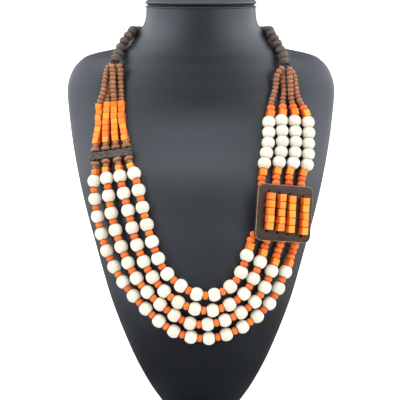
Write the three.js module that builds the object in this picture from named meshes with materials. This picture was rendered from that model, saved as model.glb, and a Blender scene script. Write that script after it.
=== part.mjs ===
// Beaded necklace of four strings on a neck bust.
// Millimetres, +Z up. The bust faces -Y, and +X is on the viewer's right.
// The origin is the middle of the foot's underside.
import * as THREE from 'three';

// Driving sizes of the beads: across the bead, and along its thread
const BEADS = {
  white: { across: 10.4, along: 8.8, sides: 10 },
  white_short: { across: 10.2, along: 8.1, sides: 10 },
  spacer: { across: 6.1, along: 4.1, sides: 10 },
  round: { across: 6.3, along: 4.3, sides: 10 },
  small: { across: 4.9, along: 3.0, sides: 10 },
  flat: { across: 7.2, along: 3.0, sides: 10 },
  large: { across: 8.0, along: 5.4, sides: 10 },
  cube: { across: 5.0, along: 4.4, sides: 4 },
  block: { across: 5.4, along: 5.2, sides: 4 },
};

// Rings along each bead: place from -1 to 1 on its half length, and share of its full width
const PROFILES = {
  white: [[-0.95, 0.68], [0, 1], [0.95, 0.68]],
  white_short: [[-0.95, 0.68], [0, 1], [0.95, 0.68]],
  spacer: [[0, 1]],
  round: [[0, 1]],
  small: [[0, 1]],
  flat: [[0, 1]],
  large: [[0, 1]],
  cube: [[-1, 1], [1, 1]],
  block: [[-1, 1], [1, 1]],
};

const THREAD_RADIUS = 0.5;
const THREAD_SIDES = 5;
const BEAD_GAP = 0.15;
const SEAT_GAP = 0.3;

// The bust: level sections from the stem to the rim of the neck
const BUST_COLUMNS = ['z', 'half_width', 'centre', 'chest', 'back', 'neck', 'neck_chest', 'neck_back'];
const BUST_ROWS = [
  [30, 29, -7, 20, 20, 0, 0, 0],
  [44, 38.5, -7, 30, 27, 0, 0, 0],
  [61, 48, -6, 41, 32, 0, 0, 0],
  [77, 55.4, -5, 48, 35, 0, 0, 0],
  [99, 64.3, -3, 55, 38, 0, 0, 0],
  [120, 71.5, -2, 57.5, 39.5, 0, 0, 0],
  [159, 82.3, 1, 56, 41, 0, 0, 0],
  [180, 88, 3, 53, 41.5, 0, 0, 0],
  [206, 94, 6, 48.5, 41.5, 0, 0, 0],
  [233, 98.9, 10, 38, 40, 60, 0, 0],
  [255, 101.7, 14, 31, 37, 59, 14, 14],
  [270, 103, 17, 28, 34, 61, 24.4, 25],
  [279, 102, 18.5, 27, 31, 64, 27.6, 30],
  [289, 97.6, 20, 23, 26, 67, 32.1, 34.5],
  [296, 90.6, 21, 16.5, 18, 68, 35.2, 37],
  [298.2, 86, 21.4, 12.5, 13, 68, 36.3, 37.7],
  [300.2, 79, 21.8, 8.5, 9, 67.5, 37, 38.3],
  [301.6, 72, 22.1, 5, 5, 66.6, 37.3, 38.6],
  [303.2, 65.2, 22.4, 1.5, 1.5, 64.8, 37.6, 38.8],
  [306, 60, 22.8, 0, 0, 60, 37.9, 39],
  [310, 54.8, 23, 0, 0, 54.8, 38, 39],
  [314, 49.5, 23, 0, 0, 49.5, 38, 39],
  [318, 46.2, 23, 0, 0, 46.2, 38, 39],
  [325, 43, 23, 0, 0, 43, 38, 39],
  [335.8, 42, 23, 0, 0, 42, 38, 39],
];
const BUST_POINTS = 24;
const CHEST_POWER = 2.3;
const BLEND_POWER = 3;

// Oval sections of the cap and of the foot: z, half width, half depth, centre
const CAP_SECTIONS = [
  [336.1, 41.2, 37.7, 23.5],
  [337, 41.2, 37.7, 23.5],
  [337.4, 42.4, 38.9, 23.5],
  [338.4, 42.9, 39.4, 23.5],
  [339.4, 42.4, 38.9, 23.5],
  [340.4, 41, 37.5, 23.5],
  [341.4, 38.7, 35.2, 23.5],
  [342.2, 35.8, 32.3, 23.5],
  [343, 31, 27.5, 23.5],
];
const FOOT_SECTIONS = [
  [0, 80, 74, 0],
  [4, 80, 74, 0],
  [7, 74, 68, 0],
  [11, 50, 44, -2],
  [16, 33, 25, -5],
  [22, 28.6, 20, -7],
  [29.6, 28.6, 19.8, -7],
];
const OVAL_POINTS = 20;

// The drilled bar on the left: its middle on the chest, and the turn that lifts its right end
const BAR = { x: -67.5, z: 226.9, lift: 4.1, length: 34, height: 5.1, depth: 4.6, turn: 10 };
const BAR_HOLES = [-12.4, -4.1, 4.3, 12.8];
const BAR_CLEAR = 0.9;
const HOLE_RADIUS = 1.0;
const HOLE_SIDES = 6;

// The plaque on the right: its middle, size, thickness and clockwise turn
const PLAQUE = { x: 61.2, z: 185.6, lift: 9.2, width: 46.4, height: 42, depth: 2.6, corner: 5, turn: 7.5 };
const PLAQUE_COLUMNS = [15, 3.7, -4.9, -13.9];
const PLAQUE_MIDDLES = [-1.2, -0.3, 0.4, 0.9];
const BLOCKS_ON_PLAQUE = 5;
const BLOCK_PITCH = 5.5;
const BLOCK_STAND = 0.5;
const CORNER_STEPS = 3;

// The last large bead on each side, where the four strings come together
const JUNCTIONS = {
  left: { x: -64.4, z: 297, lift: 6.2, side: -1 },
  right: { x: 63.2, z: 294.6, lift: 6.2, side: 1 },
};
const THREAD_SPREAD = 2.6;
const JUNCTION_ROOM = 0.15;

// A lower point that sets which way a junction bead hangs, and how much nearer the chest it lies
const JUNCTION_DROP = 8;
const JUNCTION_FALL = 0.7;

// How far the thread stands behind the plaque and past each hole, and out of each end of a hole
const BEHIND_PLAQUE = 2.2;
const PAST_HOLE = 1.2;
const OUT_OF_BACK = 0.6;
const OUT_OF_FRONT = 0.7;

// Neck strings from each junction over the shoulder to the side of the neck: x, y, z
const SHOULDER_LEFT = [[-62.3, 1.6, 301.6], [-60.6, 3.8, 305.8], [-58, 7, 310], [-54.9, 10.4, 313.8],
  [-52.4, 16, 316.4]];
const SHOULDER_RIGHT = [[61.8, -0.8, 299.4], [59.8, 1.6, 304.3], [57.5, 5.4, 308.6], [54.9, 9.4, 312.7],
  [52.8, 14.3, 316]];
const NAPE = { side_z: 316.6, back_z: 314, start: 0.04, steps: 7, clear: 1.7 };
const CLASP = { length: 13, across: 6.4 };
const CLASP_PROFILE = [[-1, 0.45], [-0.8, 1], [0.8, 1], [1, 0.45]];

// Routes of the strings on the chest: x, z and the height of the thread above the surface
const STRINGS = [
  {
    name: 'string_outer', whites: 19, lower_rounds: 4, at_left: [1, -1], at_right: [1, -1],
    left: [[-70.1, 290.5, 3.4], [-72.5, 280, 5.4], [-73.8, 272, 6.3], [-76.1, 265.8, 5.4], [-76.8, 259, 3.2],
      [-77.3, 245, 3], [-78.7, 236, 3.2]],
    lower: [[-79.2, 219, 4.3], [-79, 213, 4.8], [-80, 206, 5.8], [-77.3, 181, 5.8], [-70.2, 156, 5.8],
      [-57.8, 134, 5.8], [-40, 115, 5.8], [-18, 98.8, 5.8], [7, 94.6, 5.8], [31, 102.8, 5.8],
      [51.3, 119.3, 5.8], [63.2, 142, 5.6], [67.4, 152.2, 4.2], [69.6, 158, 3.7]],
    right: [[74.8, 205, 3.7], [76.4, 213.5, 4.2], [79.5, 219, 5.5], [80.7, 234.5, 5.7], [80.8, 248.6, 5.5],
      [79.2, 255.3, 4.8], [76.6, 261.5, 3.4], [72.8, 269, 3.1], [71.4, 277, 3], [69.4, 286, 3]],
  },
  {
    name: 'string_second', whites: 17, lower_rounds: 4, at_left: [-1, -1], at_right: [1, 1],
    left: [[-64.3, 290.5, 3.7], [-67.2, 281, 3.3], [-69.7, 272, 2.9], [-70.9, 262, 3], [-71.4, 237, 3.2]],
    lower: [[-71.1, 221.5, 4.3], [-71, 214.5, 4.8], [-70, 208, 5.8], [-66.3, 183, 5.8], [-59, 160, 5.8],
      [-47, 137.3, 5.8], [-29.4, 119.4, 5.8], [-7, 106, 5.8], [18, 108.6, 5.8], [41, 122.4, 5.8],
      [53, 145, 5.6], [56.5, 155.8, 4.2], [58.6, 161, 3.7]],
    right: [[65.3, 206, 3.7], [66.2, 215, 4.2], [68.9, 221, 5.5], [70.9, 236.3, 5.7], [70.4, 250.6, 5.5],
      [70.5, 256.8, 4.8], [68.9, 263, 3.3], [67.8, 270, 5], [67.4, 278, 6.8], [66.6, 287, 8.8]],
  },
  {
    name: 'string_third', whites: 15, lower_rounds: 3, at_left: [1, 1], at_right: [-1, -1],
    left: [[-66.9, 291.5, 8.2], [-66.4, 280.5, 8.2], [-66, 272, 7.2], [-65.6, 265.8, 4.8], [-65.5, 259, 3.2],
      [-64.3, 239, 3.2]],
    lower: [[-62.5, 223.4, 4.3], [-60.8, 217, 4.8], [-59.8, 210, 5.8], [-53.8, 187, 5.8], [-47.2, 163, 5.8],
      [-36, 140.4, 5.8], [-17, 122.2, 5.8], [8, 116, 5.8], [31, 127.2, 5.8], [43.3, 150, 5.6],
      [46.8, 160.6, 4.2], [48.8, 166, 3.7]],
    right: [[55.7, 207, 3.7], [56.6, 215.6, 4.2], [58.2, 222, 5.5], [60.8, 236.8, 5.7], [60.3, 251.4, 5.5],
      [61.3, 258, 4.2], [61.5, 264, 3.2], [62.5, 273, 3.5], [62, 280, 4.1], [61.6, 286, 4.3]],
  },
  {
    name: 'string_inner', whites: 13, lower_rounds: 3, at_left: [-1, 1], at_right: [-1, 1],
    left: [[-61.2, 291, 7.4], [-61, 281.5, 4.6], [-60.2, 267, 3.3], [-59.5, 252, 3.2], [-57.2, 240, 3.2]],
    lower: [[-54.4, 225, 4.3], [-52, 218.6, 4.8], [-49, 212.6, 5.8], [-43, 189.4, 5.8], [-36.2, 165.8, 5.8],
      [-25.6, 143.6, 5.8], [-4, 128.4, 5.8], [9, 127.6, 5.8], [20.6, 132.8, 5.8], [28.7, 142.2, 5.8],
      [33.2, 154.2, 5.6], [36.4, 163.6, 4.2], [37.6, 169.5, 3.7]],
    right: [[44.9, 207, 3.7], [46.1, 215, 4.2], [47.1, 221.5, 5.5], [50.3, 236.8, 5.7], [51, 251.4, 5.5],
      [52.4, 258, 4.6], [52.9, 264, 4], [56, 275, 4], [57.6, 286, 7.3]],
  },
];
const LEFT_CUBES = 7;
const RIGHT_WHITES = 5;
const ROUNDS_ABOVE_PLAQUE = 2;
const FIRST_WHITE_ROW = 3;
const ROUTE_STEPS = 800;

const up = new THREE.Vector3(0, 0, 1);
const point = (row) => new THREE.Vector3(row[0], row[1], row[2]);

// One column of the bust's table at any height, as a smooth curve through its rows
function bustValue(column, z) {
  const c = BUST_COLUMNS.indexOf(column);
  const last = BUST_ROWS.length - 1;
  const height = Math.min(Math.max(z, BUST_ROWS[0][0]), BUST_ROWS[last][0]);
  let i = 0;
  while (i < last - 1 && BUST_ROWS[i + 1][0] < height) i += 1;
  const slope = (k) => {
    const before = BUST_ROWS[Math.max(k - 1, 0)];
    const after = BUST_ROWS[Math.min(k + 1, last)];
    return (after[c] - before[c]) / (after[0] - before[0]);
  };
  const step = BUST_ROWS[i + 1][0] - BUST_ROWS[i][0];
  const t = (height - BUST_ROWS[i][0]) / step;
  const t2 = t * t;
  const t3 = t2 * t;
  return (2 * t3 - 3 * t2 + 1) * BUST_ROWS[i][c] + (t3 - 2 * t2 + t) * step * slope(i)
    + (3 * t2 - 2 * t3) * BUST_ROWS[i + 1][c] + (t3 - t2) * step * slope(i + 1);
}

// Depth of the bust from its centre plane at x, towards its chest or its back
function bustDepth(x, z, side) {
  const across = Math.min(Math.abs(x) / bustValue('half_width', z), 1);
  const torso = Math.max(bustValue(side, z), 0) * (1 - across ** CHEST_POWER) ** (1 / CHEST_POWER);
  const neck = bustValue('neck', z);
  const inside = neck > 0 ? Math.min(Math.abs(x) / neck, 1) : 1;
  const round = Math.max(bustValue(`neck_${side}`, z), 0) * Math.sqrt(1 - inside * inside);
  return Math.cbrt(torso ** BLEND_POWER + round ** BLEND_POWER);
}

const chestY = (x, z) => bustValue('centre', z) - bustDepth(x, z, 'chest');

// The chest's outward direction, from the slopes of its surface
function outward(x, z) {
  const step = 1;
  const acrossX = (chestY(x + step, z) - chestY(x - step, z)) / (2 * step);
  const acrossZ = (chestY(x, z + step) - chestY(x, z - step)) / (2 * step);
  return new THREE.Vector3(acrossX, -1, acrossZ);
}

// A point in front of x, z whose height above the chest is lift
function onChest(x, z, lift) {
  return new THREE.Vector3(x, chestY(x, z) - lift * outward(x, z).length(), z);
}

// A closed body through rings of points that turn to the left around the way of travel
function loft(rings) {
  const positions = [];
  const index = [];
  const starts = [];
  for (const ring of rings) {
    starts.push(positions.length / 3);
    for (const p of ring.points) positions.push(p.x, p.y, p.z);
  }
  for (let r = 0; r + 1 < rings.length; r += 1) {
    const a = rings[r];
    const b = rings[r + 1];
    const m = a.points.length;
    const n = b.points.length;
    let i = 0;
    let j = 0;
    while (i < m || j < n) {
      const nextA = a.phase + (2 * Math.PI * (i + 1)) / m;
      const nextB = b.phase + (2 * Math.PI * (j + 1)) / n;
      const pa = starts[r] + (i % m);
      const pb = starts[r + 1] + (j % n);
      if (j >= n || (i < m && nextA <= nextB)) {
        index.push(pa, starts[r] + ((i + 1) % m), pb);
        i += 1;
      } else {
        index.push(pa, starts[r + 1] + ((j + 1) % n), pb);
        j += 1;
      }
    }
  }
  const first = rings[0].points.length;
  for (let k = 1; k + 1 < first; k += 1) index.push(0, k + 1, k);
  const end = starts[starts.length - 1];
  const count = rings[rings.length - 1].points.length;
  for (let k = 1; k + 1 < count; k += 1) index.push(end, end + k, end + k + 1);
  const geometry = new THREE.BufferGeometry();
  geometry.setAttribute('position', new THREE.Float32BufferAttribute(positions, 3));
  geometry.setIndex(index);
  geometry.computeVertexNormals();
  return geometry;
}

// A ring of points around a centre, square when it has four
function ring(centre, along, facing, radius, sides) {
  const sideways = new THREE.Vector3().crossVectors(facing, along).normalize();
  const front = new THREE.Vector3().crossVectors(along, sideways).normalize();
  const phase = sides === 4 ? Math.PI / 4 : 0;
  const reach = sides === 4 ? radius * Math.SQRT2 : radius;
  const points = [];
  for (let k = 0; k < sides; k += 1) {
    const angle = phase + (2 * Math.PI * k) / sides;
    points.push(centre.clone().addScaledVector(sideways, reach * Math.cos(angle))
      .addScaledVector(front, reach * Math.sin(angle)));
  }
  return { points, phase };
}

// The rings of one bead, which is straight and rigid
function beadRings(kind, centre, along, facing) {
  const bead = BEADS[kind];
  return PROFILES[kind].map(([place, share]) => ring(
    centre.clone().addScaledVector(along, (place * bead.along) / 2),
    along, facing, (share * bead.across) / 2, bead.sides,
  ));
}

const threadRing = (centre, along, facing) => ring(centre, along, facing, THREAD_RADIUS, THREAD_SIDES);

// Beads on a curved route, in order, with thread rings between them
function stringBeads(route, kinds, start, gap, facingAt) {
  const rings = [];
  const length = route.getLength();
  let place = start;
  const addThread = (s) => {
    const u = Math.min(Math.max(s / length, 0), 1);
    const centre = route.getPointAt(u);
    rings.push(threadRing(centre, route.getTangentAt(u), facingAt(centre)));
  };
  addThread(place - gap / 2);
  for (const kind of kinds) {
    const half = BEADS[kind].along / 2;
    const u = (place + half) / length;
    const centre = route.getPointAt(u);
    rings.push(...beadRings(kind, centre, route.getTangentAt(u), facingAt(centre)));
    place += 2 * half;
    addThread(place + gap / 2);
    place += gap;
  }
  return rings;
}

const beadLength = (kinds) => kinds.reduce((sum, kind) => sum + BEADS[kind].along, 0);

function smoothRoute(points) {
  const curve = new THREE.CatmullRomCurve3(points, false, 'centripetal');
  curve.arcLengthDivisions = ROUTE_STEPS;
  return curve;
}

// How far along a route one of its own points lies
function lengthTo(route, row) {
  return route.getLengths(ROUTE_STEPS)[Math.round((ROUTE_STEPS * row) / (route.points.length - 1))];
}

const chestFacing = (p) => outward(p.x, p.z).normalize();

// A flat piece's own directions on the chest: across, upright and outward
function frameOnChest({ x, z, lift, turn }) {
  const out = outward(x, z).normalize();
  const across = new THREE.Vector3().crossVectors(up, out).normalize();
  across.applyAxisAngle(out, THREE.MathUtils.degToRad(turn));
  const upright = new THREE.Vector3().crossVectors(out, across);
  return { centre: onChest(x, z, lift), across, upright, out };
}

function inFrame(frame, a, u, o) {
  return frame.centre.clone().addScaledVector(frame.across, a)
    .addScaledVector(frame.upright, u).addScaledVector(frame.out, o);
}

// Directions at a junction bead: down the strings, out to the side and to the front
function junctionFrame(junction) {
  const centre = onChest(junction.x, junction.z, junction.lift);
  const below = onChest(
    junction.x + junction.side, junction.z - JUNCTION_DROP, junction.lift - JUNCTION_FALL,
  );
  const down = below.clone().sub(centre).normalize();
  const out = chestFacing(centre);
  const across = new THREE.Vector3().crossVectors(down, out).normalize();
  const front = new THREE.Vector3().crossVectors(across, down).normalize();
  return { centre, down, across: across.multiplyScalar(Math.sign(across.x) * junction.side), front };
}

// Where one of the four threads leaves the junction bead: 1 or -1 to the side, and to the front
function threadAtJunction(frame, [outer, forward]) {
  return frame.centre.clone()
    .addScaledVector(frame.down, BEADS.large.along / 2 + SEAT_GAP)
    .addScaledVector(frame.across, THREAD_SPREAD * outer)
    .addScaledVector(frame.front, THREAD_SPREAD * forward);
}

const group = new THREE.Group();

function addMesh(name, geometry, colour, roughness, metalness) {
  const material = new THREE.MeshStandardMaterial({ color: colour, roughness, metalness });
  const mesh = new THREE.Mesh(geometry, material);
  mesh.name = name;
  group.add(mesh);
  return mesh;
}

// Bust
const bustRings = BUST_ROWS.map(([z]) => {
  const points = [];
  for (let k = 0; k < BUST_POINTS; k += 1) {
    const angle = (2 * Math.PI * k) / BUST_POINTS;
    const x = bustValue('half_width', z) * Math.cos(angle);
    const front = Math.sin(angle) < 0;
    const depth = bustDepth(x, z, front ? 'chest' : 'back');
    points.push(new THREE.Vector3(x, bustValue('centre', z) + (front ? -depth : depth), z));
  }
  return { points, phase: 0 };
});
addMesh('neck_bust', loft(bustRings), 0x4b4d50, 0.75, 0);

function ovalBody(sections) {
  return loft(sections.map(([z, halfWidth, halfDepth, centre]) => {
    const points = [];
    for (let k = 0; k < OVAL_POINTS; k += 1) {
      const angle = (2 * Math.PI * k) / OVAL_POINTS;
      points.push(new THREE.Vector3(halfWidth * Math.cos(angle), centre + halfDepth * Math.sin(angle), z));
    }
    return { points, phase: 0 };
  }));
}
addMesh('bust_cap', ovalBody(CAP_SECTIONS), 0x5a5c5f, 0.6, 0);
addMesh('bust_foot', ovalBody(FOOT_SECTIONS), 0x4b4d50, 0.75, 0);

// A plate with round holes, from an outline in its own plane
function drilledPlate(outline, holes, depth) {
  const shape = new THREE.Shape(outline);
  for (const [x, y] of holes) {
    const rim = [];
    for (let k = 0; k < HOLE_SIDES; k += 1) {
      const angle = (-2 * Math.PI * k) / HOLE_SIDES;
      rim.push(new THREE.Vector2(x + HOLE_RADIUS * Math.cos(angle), y + HOLE_RADIUS * Math.sin(angle)));
    }
    shape.holes.push(new THREE.Path(rim));
  }
  const plate = new THREE.ExtrudeGeometry(shape, { depth, bevelEnabled: false, steps: 1 });
  return plate.translate(0, 0, -depth / 2);
}

// Spacer bar, drilled from its top to its bottom
const barFrame = frameOnChest(BAR);
const barOutline = [[-1, -1], [1, -1], [1, 1], [-1, 1]].map(
  ([a, b]) => new THREE.Vector2((a * BAR.length) / 2, (b * BAR.depth) / 2),
);
const barPlate = drilledPlate(barOutline, BAR_HOLES.map((place) => [place, 0]), BAR.height);
const bar = addMesh('spacer_bar', barPlate, 0x4a433f, 0.7, 0);
bar.position.copy(barFrame.centre);
bar.quaternion.setFromRotationMatrix(new THREE.Matrix4().makeBasis(
  barFrame.across, barFrame.out.clone().negate(), barFrame.upright,
));

// Plaque, with two holes for each string: the thread comes out at the lower and goes in at the upper
const plaqueFrame = frameOnChest({ ...PLAQUE, turn: -PLAQUE.turn });
const holeReach = (BLOCKS_ON_PLAQUE * BLOCK_PITCH) / 2 + HOLE_RADIUS;
const plaqueOutline = [];
for (const [a, b, from] of [[1, 1, 0], [-1, 1, 90], [-1, -1, 180], [1, -1, 270]]) {
  for (let k = 0; k <= CORNER_STEPS; k += 1) {
    const angle = THREE.MathUtils.degToRad(from + (90 * k) / CORNER_STEPS);
    plaqueOutline.push(new THREE.Vector2(
      a * (PLAQUE.width / 2 - PLAQUE.corner) + PLAQUE.corner * Math.cos(angle),
      b * (PLAQUE.height / 2 - PLAQUE.corner) + PLAQUE.corner * Math.sin(angle),
    ));
  }
}
const plaqueHoles = PLAQUE_COLUMNS.flatMap((column, k) => [
  [column, PLAQUE_MIDDLES[k] - holeReach],
  [column, PLAQUE_MIDDLES[k] + holeReach],
]);
const plaque = addMesh('plaque', drilledPlate(plaqueOutline, plaqueHoles, PLAQUE.depth), 0x46382f, 0.6, 0);
plaque.position.copy(plaqueFrame.centre);
plaque.quaternion.setFromRotationMatrix(new THREE.Matrix4().makeBasis(
  plaqueFrame.across, plaqueFrame.upright, plaqueFrame.out,
));

// Strings
const leftJunction = junctionFrame(JUNCTIONS.left);
const rightJunction = junctionFrame(JUNCTIONS.right);
const repeat = (kind, count) => Array(count).fill(kind);

STRINGS.forEach((string, k) => {
  const rings = [];
  const chestPoints = (rows) => rows.map(([x, z, lift]) => onChest(x, z, lift));

  // From the left junction down to the bar, laid from the bar upwards
  const barTop = inFrame(barFrame, BAR_HOLES[k], BAR.height / 2 + BAR_CLEAR, 0);
  const barBottom = inFrame(barFrame, BAR_HOLES[k], -BAR.height / 2 - BAR_CLEAR, 0);
  const leftStart = threadAtJunction(leftJunction, string.at_left);
  const leftRoute = smoothRoute([leftStart, ...chestPoints(string.left), barTop]);
  const leftEnd = [...repeat('cube', LEFT_CUBES), 'small', 'flat'];
  const leftRoom = leftRoute.getLength() - JUNCTION_ROOM - beadLength(leftEnd) - leftEnd.length * BEAD_GAP;
  const leftSmall = Math.floor(leftRoom / (BEADS.small.along + BEAD_GAP));
  const leftKinds = [...repeat('small', leftSmall), ...leftEnd];
  const leftFill = beadLength(leftKinds) + leftKinds.length * BEAD_GAP;
  rings.push(threadRing(leftStart, leftRoute.getTangentAt(0), chestFacing(leftStart)));
  rings.push(...stringBeads(leftRoute, leftKinds, leftRoute.getLength() - leftFill, BEAD_GAP, chestFacing));

  // From the bar round the front to the plaque, with the slack shared between the beads
  const hole = plaqueHoles[2 * k];
  const upper = plaqueHoles[2 * k + 1];
  const behind = -PLAQUE.depth / 2;
  const below = inFrame(plaqueFrame, hole[0], hole[1] - PAST_HOLE, behind - BEHIND_PLAQUE);
  const lowerRoute = smoothRoute([barBottom, ...chestPoints(string.lower), below]);
  const lowerKinds = ['flat', 'small', 'cube'];
  for (let w = 1; w < string.whites; w += 1) lowerKinds.push('white', 'spacer');
  lowerKinds.push('white', 'block', ...repeat('round', string.lower_rounds));
  const slack = lowerRoute.getLength() - PAST_HOLE - beadLength(lowerKinds);
  const gap = slack / lowerKinds.length;
  rings.push(threadRing(barBottom, lowerRoute.getTangentAt(0), chestFacing(barBottom)));
  rings.push(...stringBeads(lowerRoute, lowerKinds, gap, gap, chestFacing));

  // Through the plaque, up its front with the blocks, and back through it
  const stand = PLAQUE.depth / 2 + BLOCK_STAND + BEADS.block.across / 2;
  const through = (place, from, to) => {
    const along = plaqueFrame.out.clone().multiplyScalar(Math.sign(to - from));
    const facing = plaqueFrame.upright.clone().multiplyScalar(-Math.sign(to - from));
    for (const o of [from, to]) {
      rings.push(threadRing(inFrame(plaqueFrame, place[0], place[1], o), along, facing));
    }
  };
  through(hole, behind - OUT_OF_BACK, PLAQUE.depth / 2 + OUT_OF_FRONT);
  const columnStart = inFrame(plaqueFrame, hole[0], hole[1] + HOLE_RADIUS, stand);
  for (let b = 0; b < BLOCKS_ON_PLAQUE; b += 1) {
    const centre = columnStart.clone().addScaledVector(plaqueFrame.upright, (b + 0.5) * BLOCK_PITCH);
    const edge = centre.clone().addScaledVector(plaqueFrame.upright, -BLOCK_PITCH / 2);
    rings.push(threadRing(edge, plaqueFrame.upright, plaqueFrame.out));
    rings.push(...beadRings('block', centre, plaqueFrame.upright, plaqueFrame.out));
  }
  const columnEnd = columnStart.clone()
    .addScaledVector(plaqueFrame.upright, BLOCKS_ON_PLAQUE * BLOCK_PITCH);
  rings.push(threadRing(columnEnd, plaqueFrame.upright, plaqueFrame.out));
  through(upper, PLAQUE.depth / 2 + OUT_OF_FRONT, behind - OUT_OF_BACK);

  // From the plaque up to the right junction
  const above = inFrame(plaqueFrame, upper[0], upper[1] + PAST_HOLE, behind - BEHIND_PLAQUE);
  const rightEnd = threadAtJunction(rightJunction, string.at_right);
  const rightRoute = smoothRoute([above, ...chestPoints(string.right), rightEnd]);
  const rightStart = [...repeat('round', ROUNDS_ABOVE_PLAQUE), 'block',
    ...repeat('white_short', RIGHT_WHITES), 'block', 'round'];
  const beforeWhite = rightStart.slice(0, ROUNDS_ABOVE_PLAQUE + 1);
  const startPlace = lengthTo(rightRoute, FIRST_WHITE_ROW) - BEADS.white_short.along / 2
    - beadLength(beforeWhite) - beforeWhite.length * BEAD_GAP;
  const rightRoom = rightRoute.getLength() - JUNCTION_ROOM - startPlace
    - beadLength(rightStart) - rightStart.length * BEAD_GAP;
  const rightSmall = Math.floor(rightRoom / (BEADS.small.along + BEAD_GAP));
  const rightKinds = [...rightStart, ...repeat('small', rightSmall)];
  rings.push(...stringBeads(rightRoute, rightKinds, startPlace, BEAD_GAP, chestFacing));
  rings.push(threadRing(rightEnd, rightRoute.getTangentAt(1), chestFacing(rightEnd)));
  addMesh(string.name, loft(rings), [0xe9e4cf, 0xe6e0ca, 0xece7d4, 0xeae5d0][k], 0.5, 0);
});

// Neck strings of large beads, which lie round the neck and meet the clasp behind it
function neckString(name, frame, shoulder, side) {
  const bottom = frame.centre.clone().addScaledVector(frame.down, BEADS.large.along / 2);
  const points = [bottom, frame.centre.clone(), ...shoulder.map(point)];
  const claspAngle = CLASP.length / 2 / bustValue('half_width', NAPE.back_z);
  for (let k = 0; k <= NAPE.steps; k += 1) {
    const angle = NAPE.start + (k / NAPE.steps) * (Math.PI / 2 - claspAngle - NAPE.start);
    const z = NAPE.side_z + (NAPE.back_z - NAPE.side_z) * Math.sin(angle);
    const reach = bustValue('half_width', z) + BEADS.large.across / 2 + NAPE.clear;
    const depth = bustValue('neck_back', z) + BEADS.large.across / 2 + NAPE.clear;
    points.push(new THREE.Vector3(
      side * reach * Math.cos(angle), bustValue('centre', z) + depth * Math.sin(angle), z,
    ));
  }
  const route = smoothRoute(points);
  const facing = (p) => new THREE.Vector3(p.x, p.y - bustValue('centre', p.z), 0).normalize();
  const room = route.getLength() - 2 * SEAT_GAP;
  const count = Math.floor(room / (BEADS.large.along + BEAD_GAP));
  const gap = room / count - BEADS.large.along;
  const rings = stringBeads(route, repeat('large', count), SEAT_GAP, gap, facing);
  return { geometry: loft(rings), end: points.at(-1) };
}
const leftNeck = neckString('neck_string_left', leftJunction, SHOULDER_LEFT, -1);
const rightNeck = neckString('neck_string_right', rightJunction, SHOULDER_RIGHT, 1);
addMesh('neck_string_left', leftNeck.geometry, 0x43322c, 0.55, 0);
addMesh('neck_string_right', rightNeck.geometry, 0x43322c, 0.55, 0);

// Clasp: a plain barrel that lies between the ends of the two neck strings
const claspSpan = rightNeck.end.clone().sub(leftNeck.end);
const claspAlong = claspSpan.clone().normalize();
const claspMiddle = leftNeck.end.clone().addScaledVector(claspSpan, 0.5);
const claspHalf = claspSpan.length() / 2 - SEAT_GAP;
const claspRings = CLASP_PROFILE.map(([place, share]) => ring(
  claspMiddle.clone().addScaledVector(claspAlong, place * claspHalf),
  claspAlong, new THREE.Vector3(0, 1, 0), (share * CLASP.across) / 2, BEADS.large.sides,
));
addMesh('clasp', loft(claspRings), 0xb08a4a, 0.35, 0.9);

export default group;
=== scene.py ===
# %% [markdown]
# # A beaded necklace on a neck bust
#
# The necklace has four strings of ivory, orange and brown wooden beads. A drilled bar spreads the
# strings on one side, they pass through a dark plaque on the other, and one string of large dark
# beads carries them round the neck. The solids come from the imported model. This script gives each
# piece its fine shape and its finish, in metres, in the same frame as the solids.

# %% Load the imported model
import math
import random

import bmesh
import bpy
from mathutils import Matrix, Vector, noise


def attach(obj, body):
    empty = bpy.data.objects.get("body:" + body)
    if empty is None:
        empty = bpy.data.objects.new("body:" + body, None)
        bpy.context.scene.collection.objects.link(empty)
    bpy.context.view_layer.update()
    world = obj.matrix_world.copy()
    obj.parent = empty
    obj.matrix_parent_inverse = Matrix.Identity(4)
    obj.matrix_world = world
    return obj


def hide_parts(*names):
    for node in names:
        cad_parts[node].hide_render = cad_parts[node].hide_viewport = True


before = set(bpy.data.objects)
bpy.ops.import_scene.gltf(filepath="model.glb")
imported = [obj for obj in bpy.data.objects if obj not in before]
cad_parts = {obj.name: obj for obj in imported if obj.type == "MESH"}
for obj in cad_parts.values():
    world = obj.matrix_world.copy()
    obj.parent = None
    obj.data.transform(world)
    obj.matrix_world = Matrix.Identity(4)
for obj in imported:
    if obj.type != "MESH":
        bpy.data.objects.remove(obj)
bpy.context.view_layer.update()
print("solids:", len(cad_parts))

# %% [markdown]
# ## Nodes
#
# Both the light of the room and every finish are trees of nodes: patterns and sums that feed one
# another. These helpers add one node each and give back its outcome, so that a tree can be written
# as a row of sums.

# %% Helpers for nodes
def feed(tree, socket, value):
    """Link another node's outcome to a socket, or set a plain value on it."""
    if isinstance(value, bpy.types.NodeSocket):
        tree.links.new(value, socket)
    else:
        socket.default_value = value


def add_node(tree, kind, inputs, output=0, **settings):
    node = tree.nodes.new("ShaderNode" + kind)
    for name, value in settings.items():
        setattr(node, name, value)
    for key, value in inputs.items():
        feed(tree, node.inputs[key], value)
    return node.outputs[output]


def reckon(tree, operation, first, second=0.0):
    return add_node(tree, "Math", {0: first, 1: second}, operation=operation)


def graded(tree, value, low, high, to_low=0.0, to_high=1.0):
    """A value brought smoothly from one range to another."""
    limits = {"Value": value, "From Min": low, "From Max": high, "To Min": to_low, "To Max": to_high}
    return add_node(tree, "MapRange", limits, interpolation_type="SMOOTHSTEP")


def coordinates(tree, kind):
    return add_node(tree, "TexCoord", {}, output=kind)

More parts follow.
